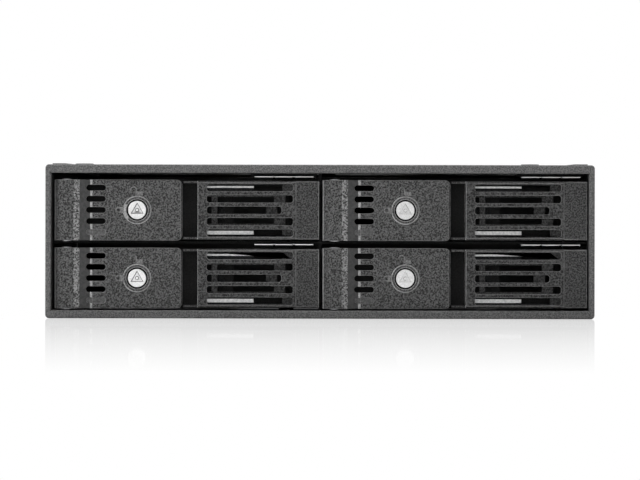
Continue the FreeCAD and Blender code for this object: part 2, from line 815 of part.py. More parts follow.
def mid_shelf(side):
    """The sheet between the two rows of one column, with tabs through the wall slots."""
    outer, inner = shell_inside, body_sheet / 2
    front, back = wall_start + 0.2, board_front - 1.0
    body = [box(inner, outer, front, back, shelf_bottom, shelf_bottom + shelf_sheet)]
    for y in tab_places:
        y0, y1 = y - tab_length / 2 + 0.1, y + tab_length / 2 - 0.1
        body.append(box(inner - body_sheet / 2 + 0.02, outer + body_sheet, y0, y1,
                        shelf_bottom, shelf_bottom + shelf_sheet))
    middle = (outer + inner) / 2
    tools = [
        window(x, x + air_width, y, y + 22, shelf_bottom - 1, shelf_bottom + 2, air_corner)
        for x in (middle - 1.5 * air_width, middle + 0.5 * air_width)
        for y in (24.0, 54.0, 84.0)
    ]
    for y, z in side_mount_places():
        tools.append(box(outer - mount_screw_room, outer + 0.01, y - 2.5, y + 2.5,
                         shelf_bottom - 1, shelf_bottom + 2))
    shelf = less(join(body), tools)
    return shelf if side > 0 else shelf.mirror(V(0, 0, 0), V(1, 0, 0))


def bay_springs():
    """Three fingers of thin steel above each tray, bowed down at the front."""
    over = sheet_over
    low = tray_height / 2 + spring_lift
    t = spring_sheet
    outline = [
        (0, spring_back, over),
        (0, spring_back, over - t),
        (0, spring_seat, over - t),
        (0, spring_seat - 1.6, low),
        (0, spring_seat - 2.6, low),
        (0, spring_front, over - t - 0.1),
        (0, spring_front, over - 0.1),
        (0, spring_seat - 2.6, low + t),
        (0, spring_seat - 1.6, low + t),
        (0, spring_seat - 0.15, over),
    ]
    leaf = plate(outline, (spring_width, 0, 0))
    slit = (spring_width / 3) - 0.3
    cuts = [box(x, x + 0.6, spring_front - 1, spring_seat - 0.2, low - 1, over + 1)
            for x in (slit, spring_width - slit - 0.6)]
    leaf = less(leaf, cuts)
    leaf.translate(V(spring_left, 0, 0))
    return in_all(leaf)


def backplane_board():
    """The air windows lie over the drive sockets, except where a rear socket stands behind the board."""
    half = shell_inside - board_edge_gap
    y0, y1 = board_front - 1, board_back + 1
    board = box(-half, half, board_front, board_back, body_sheet + 0.4, cover_under - body_sheet - 0.4)
    tools = [rod_y(x, z, screw_shank_radius, y0, y1) for x, z in standoff_places]
    for left, middle in trays.values():
        z = middle + board_window_low
        for x in (left + board_windows_left[0], left + board_windows_left[1]):
            if abs(x + board_window_width / 2) > port_window_half:
                tools.append(soft_box_y(x, x + board_window_width, y0, y1, z, z + board_window_height,
                                        window_corner))
    return less(board, tools)


board_windows_left = (7.0, 25.0)
standoff_places = [(sx * standoff_x, z) for sx in (-1, 1)
                   for z in (standoff_inset_z, body_height - standoff_inset_z)]
socket_left = 4.5
socket_width = 38.0
socket_depth = 7.2
socket_bottom = carrier_top + 0.8
socket_height = 6.2


def drive_sockets():
    left, right = socket_left, socket_left + socket_width
    z0, z1 = socket_bottom, socket_bottom + socket_height
    y0 = board_front - socket_depth
    body = box(left, right, y0, board_front, z0, z1)
    mouth = box(left + 2, right - 2, y0 - 1, board_front - 1.6, z0 + 1.3, z1 - 1.3)
    tongues = [
        box(left + 3, left + 15.5, y0 + 0.6, board_front - 1.5, z0 + 2.4, z0 + 3.8),
        box(left + 18, right - 3, y0 + 0.6, board_front - 1.5, z0 + 2.4, z0 + 3.8),
    ]
    return in_all(join([body.cut(mouth)] + tongues))


def rear_socket(width, height, depth, tongue):
    """A shrouded plug socket, centred on X = 0 and Z = 0, its mouth to the back."""
    body = box(-width / 2, width / 2, 0, depth, -height / 2, height / 2)
    mouth = box(-width / 2 + 1.2, width / 2 - 1.2, 1.5, depth + 1, -height / 2 + 1.0, height / 2 - 1.0)
    blade = join([
        box(-tongue / 2, tongue / 2, 1.4, depth - 0.8, -0.2, 1.0),
        box(-tongue / 2, -tongue / 2 + 1.2, 1.4, depth - 0.8, -1.2, 1.0),
    ])
    return join([body.cut(mouth), blade])


def at(shape, x, y, z):
    moved = shape.copy()
    moved.translate(V(x, y, z))
    return moved


port_x = 11.5
port_depth = 9.0
port_width = 14.5
port_height = 6.0
port_tongue = 9.6
port_rows = (mid_z + 4.0, mid_z + 12.0)
inlet_width = 20.5
inlet_height = 6.4
inlet_tongue = 16.0
inlet_z = mid_z - 5.0


def data_ports():
    port = rear_socket(port_width, port_height, port_depth, port_tongue)
    return Part.makeCompound([at(port, x, board_back, z) for x in (-port_x, port_x) for z in port_rows])


def power_inlets():
    inlet = rear_socket(inlet_width, inlet_height, port_depth, inlet_tongue)
    return Part.makeCompound([at(inlet, x, board_back, inlet_z) for x in (-port_x, port_x)])


switch_z = mid_z - 12.5
switch_travel = 4.0


def switch_housing():
    body = box(-5.5, 5.5, board_back, board_back + 4.0, switch_z - 2.4, switch_z + 2.4)
    track = box(-3.6, 3.6, board_back + 1.0, board_back + 5, switch_z - 1.1, switch_z + 1.1)
    return less(body, [track])


def switch_slider():
    left = -switch_travel / 2
    foot = box(left - 1.4, left + 1.4, board_back + 1.1, board_back + 3.6, switch_z - 1.0, switch_z + 1.0)
    knob = box(left - 1.0, left + 1.0, board_back + 3.5, board_back + 7.2, switch_z - 1.0, switch_z + 1.0)
    return join([foot, knob])


def status_leds():
    led = box(rail_x - 1.0, rail_x + 1.0, board_front - 1.2, board_front, rail_z - 0.8, rail_z + 0.8)
    return in_all(led)


def rear_panel():
    half = shell_inside
    top = cover_under
    panel = box(-half, half, rear_front, rear_back, body_sheet, top - body_sheet)
    lip = 6.0
    low = box(-half, half, rear_front - lip, rear_front, body_sheet, 2 * body_sheet)
    high = box(-half + flange_width + 0.3, half - flange_width - 0.3, rear_front - lip, rear_back,
               top - body_sheet, top)
    y0, y1 = rear_front - 1, rear_back + 1
    tools = [soft_box_y(-port_window_half, port_window_half, y0, y1,
                        port_window_margin, body_height - port_window_margin, window_corner)]
    tools += [rod_y(x, mid_z, fan_blade_tip, y0, y1) for x in fan_places]
    tools += [rod_y(x, z, fan_screw_hole, y0, y1) for x, z in fan_holes]
    tools += [rod_y(x, z, screw_hole, y0, y1) for x, z in standoff_places]
    first = bezel_depth + mount_first + mount_span_y
    for x in (-mount_span_bottom / 2, mount_span_bottom / 2):
        tools.append(rod_z(x, first, mount_hole_radius + 1, -1, body_sheet + 3))
    return less(join([panel, low, high]), tools)


def standoffs():
    posts = []
    for x, z in standoff_places:
        post = rod_y(x, z, standoff_radius, board_back, rear_front)
        posts.append(less(post, [rod_y(x, z, screw_shank_radius, rear_front - 5, rear_front + 1)]))
    return Part.makeCompound(posts)


def case_screws():
    solids = []
    for x in bezel_screws_x:
        solids.append(screw(x, bezel_screw_y, body_height, (0, 0, -1), screw_head_radius,
                            bezel_screw_head_height, screw_shank_radius, body_sheet + tongue_height))
        solids.append(screw(x, bezel_screw_y, body_sheet, (0, 0, 1), screw_head_radius, body_sheet - 0.1,
                            screw_shank_radius, tongue_height))
    for x, y in cover_screws_at:
        solids.append(screw(x, y, body_height, (0, 0, -1), screw_head_radius, screw_head_height,
                            screw_shank_radius, 2 * body_sheet))
    for x, z in standoff_places:
        solids.append(screw(x, rear_back, z, (0, -1, 0), screw_head_radius - 0.1, screw_head_height + 0.7,
                            screw_shank_radius, 4.5))
    return Part.makeCompound(solids)


def fan_frame(x):
    half, y0, y1 = fan_size / 2, rear_back, fan_back
    block = soft_box_y(-half, half, y0, y1, -half, half, fan_corner)
    block = block.cut(rod_y(0, 0, fan_bore, y0 - 1, y1 + 1))
    waist = []
    for turn in (0, 90, 180, 270):
        reach = fan_hole_span / 2 - 2 * fan_hole_radius
        notch = box(-reach, reach, y0 + fan_flange, y1 - fan_flange, fan_bore + 0.7, half + 1)
        notch.rotate(V(0, 0, 0), V(0, 1, 0), turn)
        waist.append(notch)
    block = less(block, waist)
    cup = rod_y(0, 0, fan_cup_radius, y1 - fan_cup_depth, y1)
    tube = rod_y(0, 0, fan_tube_radius, y0 + 3.0, y1 - fan_cup_depth)
    pieces = [block, cup, tube]
    for turn in (45, 135, 225, 315):
        strut = box(-fan_strut_width / 2, fan_strut_width / 2, y1 - fan_strut_depth, y1,
                    fan_cup_radius - 1, fan_bore + 1)
        strut.rotate(V(0, 0, 0), V(0, 1, 0), turn)
        pieces.append(strut)
    body = join(pieces)
    tools = [rod_y(dx * fan_hole_span / 2, dz * fan_hole_span / 2, fan_hole_radius, y0 - 1, y1 + 1)
             for dx in (-1, 1) for dz in (-1, 1)]
    tools.append(rod_y(0, 0, fan_shaft_radius + pin_gap, y0, y1 - 0.5))
    return at(less(body, tools), x, 0, mid_z)


def fan_blade(y0, y1):
    """One flat pitched blade, wider at the tip."""
    middle = (y0 + y1) / 2
    blade_end = math.sqrt(fan_blade_tip ** 2 - (blade_sweep / 2 + blade_sheet / 2) ** 2)
    sections = []
    for radius, share in ((fan_hub_radius - 0.4, blade_root_share), (blade_end, 1.0)):
        run, climb = blade_sweep / 2 * share, (y1 - y0) / 2 * share
        sections.append(Part.makePolygon([
            V(-run - blade_sheet / 2, middle - climb, radius),
            V(-run + blade_sheet / 2, middle - climb, radius),
            V(run + blade_sheet / 2, middle + climb, radius),
            V(run - blade_sheet / 2, middle + climb, radius),
            V(-run - blade_sheet / 2, middle - climb, radius),
        ]))
    return Part.makeLoft(sections, True, True)


def fan_rotor(x):
    y0 = rear_back + 0.8
    y1 = fan_back - fan_cup_depth - 0.5
    hub = rod_y(0, 0, fan_hub_radius, y0, y1).cut(rod_y(0, 0, fan_hub_radius - 1.2, y0 + 1.2, y1 + 1))
    shaft = rod_y(0, 0, fan_shaft_radius, y0 + 1.0, y1 + 0.4)
    blades = []
    for turn in range(fan_blades):
        blade = fan_blade(y0 + 0.4, y1 - 0.2)
        blade.rotate(V(0, 0, 0), V(0, 1, 0), turn * 360 / fan_blades)
        blades.append(blade)
    return at(join([hub, shaft] + blades), x, 0, mid_z)


def fan_screws():
    return Part.makeCompound([
        screw(x, fan_back, z, (0, -1, 0), fan_screw_head_radius, fan_screw_head_height,
              fan_screw_radius, fan_depth + body_sheet)
        for x, z in fan_holes
    ])


# ---------------------------------------------------------------- the nodes
nodes = {
    "front_bezel": front_bezel(),
    "chassis_shell": chassis_shell(),
    "top_cover": top_cover(),
    "centre_wall": centre_wall(),
    "mid_shelves": Part.makeCompound([mid_shelf(-1), mid_shelf(1)]),
    "bay_springs": bay_springs(),
    "backplane_board": backplane_board(),
    "drive_sockets": drive_sockets(),
    "data_ports": data_ports(),
    "power_inlets": power_inlets(),
    "status_leds": status_leds(),
    "board_standoffs": standoffs(),
    "rear_panel": rear_panel(),
    "fan_frames": Part.makeCompound([fan_frame(x) for x in fan_places]),
    "fan_rotor_left": fan_rotor(-fan_x),
    "fan_rotor_right": fan_rotor(fan_x),
    "fan_screws": fan_screws(),
    "fan_switch_housing": switch_housing(),
    "fan_switch_slider": switch_slider(),
    "case_screws": case_screws(),
}
tray_pieces = {
    "front": tray_front(),
    "carrier": carrier(),
    "bracket": bracket(),
    "screws": tray_screws(),
    "lever_pin": lever_pin(),
    "light_pipe": light_pipe(),
    "lever": lever(),
    "lens": lens(),
    "lock": lock(),
    "lock_cam": lock_cam(),
}
for tray in trays:
    for piece, shape in tray_pieces.items():
        nodes[f"{tray}_{piece}"] = in_tray(shape, tray)

os.makedirs("parts", exist_ok=True)
for name, shape in nodes.items():
    shape.translate(V(0, -overall_depth / 2, 0))
    shape.exportStep(f"parts/{name}.step")
print(len(nodes), "nodes, depth", round(overall_depth, 2), "height", round(body_height, 2))
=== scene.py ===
# %% [markdown]
# # Dressing a hot swap drive cage
# A drive cage is a steel box with a cast frame at its front. Four trays slide in through that frame, and each has
# a vented cast front and a lever door with a key lock. The shapes come from a CAD model. This lesson rounds their
# edges, gives each surface its finish, adds the marks and recesses that a real one has, and lights it. Blender
# measures in metres, so MM turns a size in millimetres into one of Blender's.

# %% Load the CAD frame
import bpy
import json
import math
from mathutils import Matrix, Vector

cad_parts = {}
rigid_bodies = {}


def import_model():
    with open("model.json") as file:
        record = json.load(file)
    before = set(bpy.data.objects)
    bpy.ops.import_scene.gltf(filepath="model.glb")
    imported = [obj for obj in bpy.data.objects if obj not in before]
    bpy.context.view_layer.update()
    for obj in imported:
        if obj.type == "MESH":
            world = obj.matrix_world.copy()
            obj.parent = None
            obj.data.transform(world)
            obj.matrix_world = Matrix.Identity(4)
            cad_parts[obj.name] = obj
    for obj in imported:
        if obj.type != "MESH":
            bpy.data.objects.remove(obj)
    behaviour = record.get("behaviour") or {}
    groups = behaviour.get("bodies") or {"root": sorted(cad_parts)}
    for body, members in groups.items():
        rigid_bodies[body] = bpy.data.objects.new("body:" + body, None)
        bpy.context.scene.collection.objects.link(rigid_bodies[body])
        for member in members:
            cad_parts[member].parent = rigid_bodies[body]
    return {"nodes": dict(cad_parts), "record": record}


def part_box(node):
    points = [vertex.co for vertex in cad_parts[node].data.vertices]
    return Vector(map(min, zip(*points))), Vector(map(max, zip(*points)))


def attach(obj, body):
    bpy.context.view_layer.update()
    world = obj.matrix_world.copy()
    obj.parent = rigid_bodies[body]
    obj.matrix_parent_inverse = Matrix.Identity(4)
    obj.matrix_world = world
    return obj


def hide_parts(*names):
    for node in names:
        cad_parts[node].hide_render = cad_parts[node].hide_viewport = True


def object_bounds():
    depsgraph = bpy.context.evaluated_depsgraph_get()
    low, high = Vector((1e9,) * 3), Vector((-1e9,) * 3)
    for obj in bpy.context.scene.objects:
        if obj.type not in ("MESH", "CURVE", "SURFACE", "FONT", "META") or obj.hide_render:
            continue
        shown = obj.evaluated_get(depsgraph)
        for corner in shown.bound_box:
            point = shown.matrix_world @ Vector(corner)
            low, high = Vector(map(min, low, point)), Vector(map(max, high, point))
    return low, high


for left_over in list(bpy.data.objects):
    bpy.data.objects.remove(left_over)
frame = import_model()
cad_low, cad_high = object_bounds()
MM = 0.001
TRAYS = ("tray1", "tray2", "tray3", "tray4")
print("CAD box in mm:", [round(v / MM, 1) for v in (*cad_low, *cad_high)])

# %% [markdown]
# ## Colours and nodes
# Colours are easiest to read as the hex values of a paint chart, but a renderer mixes light, which is linear.
# Every colour could be typed as three linear numbers, which nobody can read back. So one function turns hex to
# linear. A second one adds a shader node with its settings and its links in one call, because a material is
# easier to follow when each node takes one line.

# %% Colour and node helpers
def paint(hex_code):
    """A hex colour as linear red, green, blue and alpha."""
    values = [int(hex_code[i:i + 2], 16) / 255 for i in (1, 3, 5)]
    linear = [v / 12.92 if v <= 0.04045 else ((v + 0.055) / 1.055) ** 2.4 for v in values]
    return (*linear, 1.0)


def add(tree, kind, inputs=None, **settings):
    """A new shader node. An input may be a value or another node's output."""
    made = tree.nodes.new(kind)
    for key, value in settings.items():
        setattr(made, key, value)
    for key, value in (inputs or {}).items():
        if isinstance(value, bpy.types.NodeSocket):
            tree.links.new(value, made.inputs[key])
        else:
            made.inputs[key].default_value = value
    return made


print("a mid grey is", [round(v, 3) for v in paint("#808080")])

# %% [markdown]
# ## What every finish shares
# Each finish is a surface shader, and each pattern reads the object's own place, so that it stays put when a tray
# slides. A ramp between two close colours gives the small change of tone that a made surface has. The scale of a
# pattern comes from a real size, so that the same grain has the same width on every piece.

# %% Parts of a material
def new_material(name):
    """An empty material: its tree, its surface shader and the place on the object."""
    material = bpy.data.materials.new(name)
    material.use_nodes = True
    tree = material.node_tree
    tree.nodes.clear()
    shader = add(tree, "ShaderNodeBsdfPrincipled")
    add(tree, "ShaderNodeOutputMaterial", {"Surface": shader.outputs["BSDF"]})
    place = add(tree, "ShaderNodeTexCoord").outputs["Object"]
    return material, tree, shader, place


def two_tone(tree, factor, low, high, start=0.3, end=0.7):
    """A ramp from one hex colour to another."""
    ramp = add(tree, "ShaderNodeValToRGB", {"Fac": factor})
    ramp.color_ramp.elements[0].position = start
    ramp.color_ramp.elements[1].position = end
    ramp.color_ramp.elements[0].color = paint(low)
    ramp.color_ramp.elements[1].color = paint(high)
    return ramp.outputs["Color"]


def per_mm(size_mm):
    """A texture scale whose features are about that many millimetres."""
    return 1.0 / (size_mm * MM)


print("a 0.4 mm grain has a scale of", per_mm(0.4))

# %% [markdown]
# ## Sand-textured powder coat
# The frame, the tray fronts and the levers are cast or folded metal with a baked powder coat that is left coarse
# on purpose. To the eye it is dark grey, not black: each grain throws a small highlight and a small shadow. It
# could be an image of real coat, but an image repeats and needs a file. Noise never repeats. Noise and small
# cells together make the bump, and the noise also shifts the colour. Real grains are about 0.2 mm, and that is
# too fine to show, so they are drawn at 0.3 to 0.5 mm, and wider still where the coat is wiped smooth. The coat's
# sheen is low, because its grains scatter it.

# %% Powder coat
SPECK_RAMP = (0.40, 0.62)      # narrow, so that single grains stand out
PIT_TO_GRAIN = 1.7             # the pits are wider than the grains
HANDLING_MM = 14.0             # patches where hands have made it a little smoother
COAT_ROUGHNESS = (0.50, 0.62)
COAT_SHEEN = 0.25


def sand_coat(name, low, high, grain_mm, rise_mm):
    """A baked coat between two greys, with grains of that width and height."""
    material, tree, shader, place = new_material(name)
    grain = add(tree, "ShaderNodeTexNoise",
                {"Vector": place, "Scale": per_mm(grain_mm), "Detail": 2.0, "Roughness": 0.6})
    pits = add(tree, "ShaderNodeTexVoronoi",
               {"Vector": place, "Scale": per_mm(grain_mm * PIT_TO_GRAIN), "Randomness": 1.0})
    handling = add(tree, "ShaderNodeTexNoise", {"Vector": place, "Scale": per_mm(HANDLING_MM), "Detail": 3.0})
    height = add(tree, "ShaderNodeMath", {0: grain.outputs["Fac"], 1: pits.outputs["Distance"]}, operation="ADD")
    bump = add(tree, "ShaderNodeBump",
               {"Height": height.outputs[0], "Strength": 0.55, "Distance": rise_mm * MM})
    speck = two_tone(tree, grain.outputs["Fac"], low, high, *SPECK_RAMP)
    tree.links.new(speck, shader.inputs["Base Color"])
    tree.links.new(bump.outputs["Normal"], shader.inputs["Normal"])
    rough = add(tree, "ShaderNodeMapRange", {
        "Value": handling.outputs["Fac"], "To Min": COAT_ROUGHNESS[0], "To Max": COAT_ROUGHNESS[1]})
    tree.links.new(rough.outputs["Result"], shader.inputs["Roughness"])
    shader.inputs["Specular IOR Level"].default_value = COAT_SHEEN
    return material


print("powder coat ready")

# %% [markdown]
# ## The coat in its places
# One batch of powder isn't one grey. It lies thick and grainy on an open face. Paler coats on edges and crests
# are painted highlight, and darker ones on the frame's edges, in recesses and inside a casting are painted shade,
# down to nearly black. A mask from the angle of the surface could drive all of that in one material. Separate
# coats are chosen, because each place has its own faces and its own pair of greys can then be matched by itself.

# %% Coats
from_cad = len(bpy.data.materials)
FRAME_COAT = sand_coat("frame_powder_coat", "#4b4b4b", "#777777", grain_mm=0.38, rise_mm=0.06)
LEVER_COAT = sand_coat("lever_powder_coat", "#1d1d1d", "#666666", grain_mm=0.42, rise_mm=0.12)
# A paler coat on the lever's crest, as painted highlight.
CREST_PAINTED_HIGHLIGHT = sand_coat("ridge_painted_highlight", "#2f2f2f", "#9a9a9a", grain_mm=0.42, rise_mm=0.12)
PANEL_COAT = sand_coat("panel_powder_coat", "#141414", "#565656", grain_mm=0.42, rise_mm=0.12)
# Paler coats on bevels, the crease, the lever's outer edge, the lock ring and the panel's edges, as painted
# highlight.
EDGE_PAINTED_HIGHLIGHT = sand_coat("edge_painted_highlight", "#5a5a5a", "#7c7c7c", grain_mm=0.5, rise_mm=0.02)
PALE_PAINTED_HIGHLIGHT = sand_coat("pale_painted_highlight", "#8a8a8a", "#b4b4b4", grain_mm=0.5, rise_mm=0.02)
# A darker coat on the frame's rounded edges, as painted shade.
FRAME_EDGE_PAINTED_SHADE = sand_coat("frame_edge_painted_shade", "#2b2b2b", "#3b3b3b", grain_mm=0.5, rise_mm=0.02)
FINE_COAT = sand_coat("fine_powder_coat", "#252525", "#343434", grain_mm=0.3, rise_mm=0.03)
WIPED_COAT = sand_coat("wiped_lever_slope", "#3f3f3f", "#4b4b4b", grain_mm=0.9, rise_mm=0.01)
# Near-black and dark coats for the inside of the cage, the lever's hollow and the finger recess, as painted
# shade.
INNER_PAINTED_SHADE = sand_coat("inner_painted_shade", "#0e0e0e", "#1c1c1c", grain_mm=0.4, rise_mm=0.04)
RECESS_PAINTED_SHADE = sand_coat("recess_painted_shade", "#171717", "#272727", grain_mm=0.5, rise_mm=0.03)
RIB_COAT = sand_coat("shaded_rib_coat", "#1f1f1f", "#4e4e4e", grain_mm=0.4, rise_mm=0.04)
PLUG_COAT = sand_coat("filled_vent_coat", "#484848", "#606060", grain_mm=0.5, rise_mm=0.02)
print("coats:", len(bpy.data.materials) - from_cad)

# %% [markdown]
# ## Bare metals
# Zinc-plated sheet is bright and slightly cloudy. A dark copy of it, less of a mirror, is painted shade on a
# bracket's body behind its bright front edges. Rolled spring steel carries fine lines along the strip, which come
# from noise stretched along X. The lock face is nickel plated, and the walls of its key hole are painted dark as
# shade. Screws are plated or oxidised black, and standoffs are brass. Each could be a flat colour with one
# roughness, but then every reflection is even. The same cloud of noise shifts the colour, the roughness and, by a
# few thousandths of a millimetre, the height.

# %% Metals
METAL_RISE_MM = 0.004
CLOUD_SMOOTHER, CLOUD_ROUGHER = 0.06, 0.08


def metal(name, low, high, roughness, grain_mm, stretch=(1, 1, 1), metallic=1.0):
    """A plated or rolled metal with a faint cloud of that width."""
    material, tree, shader, place = new_material(name)
    mapped = add(tree, "ShaderNodeMapping", {"Vector": place, "Scale": stretch})
    cloud = add(tree, "ShaderNodeTexNoise",
                {"Vector": mapped.outputs["Vector"], "Scale": per_mm(grain_mm), "Detail": 4.0})
    bump = add(tree, "ShaderNodeBump",
               {"Height": cloud.outputs["Fac"], "Strength": 0.4, "Distance": METAL_RISE_MM * MM})
    tree.links.new(two_tone(tree, cloud.outputs["Fac"], low, high), shader.inputs["Base Color"])
    tree.links.new(bump.outputs["Normal"], shader.inputs["Normal"])
    rough = add(tree, "ShaderNodeMapRange", {
        "Value": cloud.outputs["Fac"],
        "To Min": roughness - CLOUD_SMOOTHER, "To Max": roughness + CLOUD_ROUGHER})
    tree.links.new(rough.outputs["Result"], shader.inputs["Roughness"])
    shader.inputs["Metallic"].default_value = metallic
    return material


ZINC = metal("zinc_plated_sheet", "#b9babb", "#e6e6e5", 0.42, grain_mm=0.6, metallic=0.6)
# A dark copy of the zinc for the bracket's body: painted shade.
ZINC_PAINTED_SHADE = metal("zinc_sheet_painted_shade", "#1c1d1e", "#3a3b3c", 0.55, grain_mm=0.5)
SPRING = metal("rolled_spring_steel", "#ececec", "#fcfcfc", 0.3, grain_mm=0.4, stretch=(0.1, 1, 1))
NICKEL = metal("turned_nickel", "#c2c2c2", "#e2e2e2", 0.30, grain_mm=0.25)
# A dark nickel for the walls of the key hole: painted shade.
KEY_HOLE_PAINTED_SHADE = metal("key_hole_painted_shade", "#3c3c3c", "#6a6a6a", 0.4, grain_mm=0.25)
SCREW_STEEL = metal("zinc_screw_steel", "#9d9ea0", "#c9cacc", 0.3, grain_mm=0.6)
BLACK_OXIDE = metal("black_oxide_steel", "#1b1b1c", "#2b2b2d", 0.42, grain_mm=0.6)
BRASS = metal("plated_brass", "#b59a5c", "#d9c286", 0.3, grain_mm=0.8)
print("coats and metals:", len(bpy.data.materials) - from_cad)

# %% [markdown]
# ## Plastics and the board
# Sockets and fans are glass-filled nylon, which is matte with a faint grain from the mould. The light pipes are
# clear acrylic, smooth and a little cloudy. The board is fibreglass under a black solder mask, with a slow change
# of tone over the copper below it. One function makes all three, since only their grain, tone and polish differ.

# %% Plastics
def plastic(name, low, high, roughness, grain_mm=0.4, rise_mm=0.015):
    """A moulded surface with a faint grain of that width and height."""
    material, tree, shader, place = new_material(name)
    grain = add(tree, "ShaderNodeTexNoise", {"Vector": place, "Scale": per_mm(grain_mm), "Detail": 3.0})
    bump = add(tree, "ShaderNodeBump",
               {"Height": grain.outputs["Fac"], "Strength": 0.35, "Distance": rise_mm * MM})
    tree.links.new(two_tone(tree, grain.outputs["Fac"], low, high), shader.inputs["Base Color"])
    tree.links.new(bump.outputs["Normal"], shader.inputs["Normal"])
    shader.inputs["Roughness"].default_value = roughness
    return material


BLACK_NYLON = plastic("black_nylon", "#17181a", "#202123", 0.5)
FAN_NYLON = plastic("fan_nylon", "#141516", "#1c1d1f", 0.42, grain_mm=0.8)
WHITE_NYLON = plastic("white_nylon", "#dcdad2", "#ebe9e2", 0.45)
SMOKED_LENS = plastic("smoked_lens", "#3a3b3d", "#454648", 0.2, grain_mm=1.5, rise_mm=0.004)
ACRYLIC = plastic("clear_acrylic", "#cfd6da", "#e3e8ea", 0.12, grain_mm=4.0, rise_mm=0.004)
ACRYLIC.node_tree.nodes["Principled BSDF"].inputs["Transmission Weight"].default_value = 0.75
SOLDER_MASK = plastic("black_solder_mask", "#0c0e0d", "#171a19", 0.32, grain_mm=2.4, rise_mm=0.01)
print("finishes in all:", len(bpy.data.materials) - from_cad)

# %% [markdown]
# ## Putting a piece on its body
# A finished piece stands for a CAD node and rides on a moving body. The body could be typed beside each piece,
# but the CAD record already knows the body of every node, and what is looked up there can't disagree with it. The
# record's material slots are read here as well, for the nodes that keep their CAD shape.

# %% Selection, bodies and slots
SLOTS = {row["node"]: row["material_slot"] for row in frame["record"]["subparts"]}


def only(thing):
    """Select one object and nothing else."""
    bpy.ops.object.select_all(action="DESELECT")
    thing.select_set(True)
    bpy.context.view_layer.objects.active = thing


def body_with(node):
    """The name of the moving body that carries a CAD node."""
    return next(name for name, members in frame["record"]["behaviour"]["bodies"].items() if node in members)


def finish_piece(piece, body, nodes=()):
    """Put a piece on its body, and let it stand for CAD nodes by hiding them."""
    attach(piece, body)
    if nodes:
        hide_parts(*nodes)
    return piece


print("material slots:", sorted(set(SLOTS.values())))

# %% [markdown]
# ## Rounding the CAD pieces
# A CAD edge is perfectly sharp, and a real one never is. Light catches a rounded edge as a thin line, and in a
# dark object those lines draw the shape. A bevel inside the material would be quicker, but it is lost when the
# mesh is exported. So each visible piece is copied, its loose triangles are welded, its flat areas are merged,
# and a bevel modifier rounds what is left. The new faces may take a coat of their own: a paler one as painted
# highlight, or a darker one as painted shade. Clamping makes a bevel as narrow as the shortest edge of the whole
# piece allows, so it is off on castings, which have many short edges.
# Without it the levers' corners shoot out in spikes, unless their mitre is an arc. Weighted normals then keep
# the large faces flat to the eye.

# %% Round a copy of a CAD node
WELD = 0.002 * MM
FLAT_WITHIN = math.radians(0.5)
EDGE_FROM = math.radians(32)
SMOOTH_UP_TO = math.radians(40)


def rounded(node, width_mm, material, edge=None, segments=2, clamp=True, miter="MITER_SHARP"):
    """A copy of a CAD node with welded faces and rounded edges, whose bevel faces may take another coat: a paler
    one as painted highlight or a darker one as painted shade.
    """
    source = frame["nodes"][node]
    copy = bpy.data.objects.new(node + "_finish", source.data.copy())
    bpy.context.scene.collection.objects.link(copy)
    copy.data.materials.clear()
    copy.data.materials.append(material)
    copy.data.materials.append(edge or material)
    only(copy)
    bpy.ops.object.mode_set(mode="EDIT")
    bpy.ops.mesh.select_all(action="SELECT")
    bpy.ops.mesh.remove_doubles(threshold=WELD)
    bpy.ops.mesh.dissolve_limited(angle_limit=FLAT_WITHIN)
    bpy.ops.mesh.normals_make_consistent(inside=False)
    bpy.ops.object.mode_set(mode="OBJECT")
    bevel = copy.modifiers.new("soft_edges", "BEVEL")
    bevel.width = width_mm * MM
    bevel.segments = segments
    bevel.limit_method = "ANGLE"
    bevel.angle_limit = EDGE_FROM
    bevel.material = 1
    bevel.use_clamp_overlap = clamp
    bevel.miter_outer = miter
    bpy.ops.object.modifier_apply(modifier=bevel.name)
    bpy.ops.object.shade_smooth_by_angle(angle=SMOOTH_UP_TO)
    flat = copy.modifiers.new("flat_faces", "WEIGHTED_NORMAL")
    flat.keep_sharp = True
    bpy.ops.object.modifier_apply(modifier=flat.name)
    return finish_piece(copy, body_with(node), [node])


print("ready to round", len(frame["nodes"]), "nodes")

# %% [markdown]
# ## The pieces that show
# A cast lever has softer edges than folded sheet, and a turned lock has the crispest. One width for all would
# make the sheet look like plastic. The large sheet takes one segment, because its edge is no thicker than a line
# in any view, and what is seen from close by at the front takes two. What stays hidden in the cage, such as the
# board and its sockets, keeps its CAD shape.

# %% Round levers, fronts, sheet metal and springs
levers, fronts, brackets, locks = {}, {}, {}, {}
for tray in TRAYS:
    # Levers, fronts and lenses take a paler coat on their bevels, as painted highlight.
    levers[tray] = rounded(f"{tray}_lever", 0.14, LEVER_COAT, EDGE_PAINTED_HIGHLIGHT, clamp=False, miter="MITER_ARC")
    fronts[tray] = rounded(f"{tray}_front", 0.12, PANEL_COAT, EDGE_PAINTED_HIGHLIGHT, clamp=False)
    brackets[tray] = rounded(f"{tray}_bracket", 0.08, ZINC_PAINTED_SHADE)
    locks[tray] = rounded(f"{tray}_lock", 0.08, NICKEL, segments=1)
    # The carrier is black sheet, taken near black as painted shade inside the cage.
    rounded(f"{tray}_carrier", 0.08, INNER_PAINTED_SHADE, segments=1)
    rounded(f"{tray}_lens", 0.1, PLUG_COAT, EDGE_PAINTED_HIGHLIGHT)
# The frame's bevels take a darker coat, as painted shade.
rounded("front_bezel", 0.12, FRAME_COAT, FRAME_EDGE_PAINTED_SHADE, clamp=False)
rounded("chassis_shell", 0.1, FINE_COAT, segments=1)
rounded("top_cover", 0.1, FINE_COAT, segments=1)
rounded("rear_panel", 0.1, FINE_COAT, segments=1)
rounded("bay_springs", 0.05, SPRING, segments=1)
print("faces on a lever:", len(levers["tray1"].data.polygons))
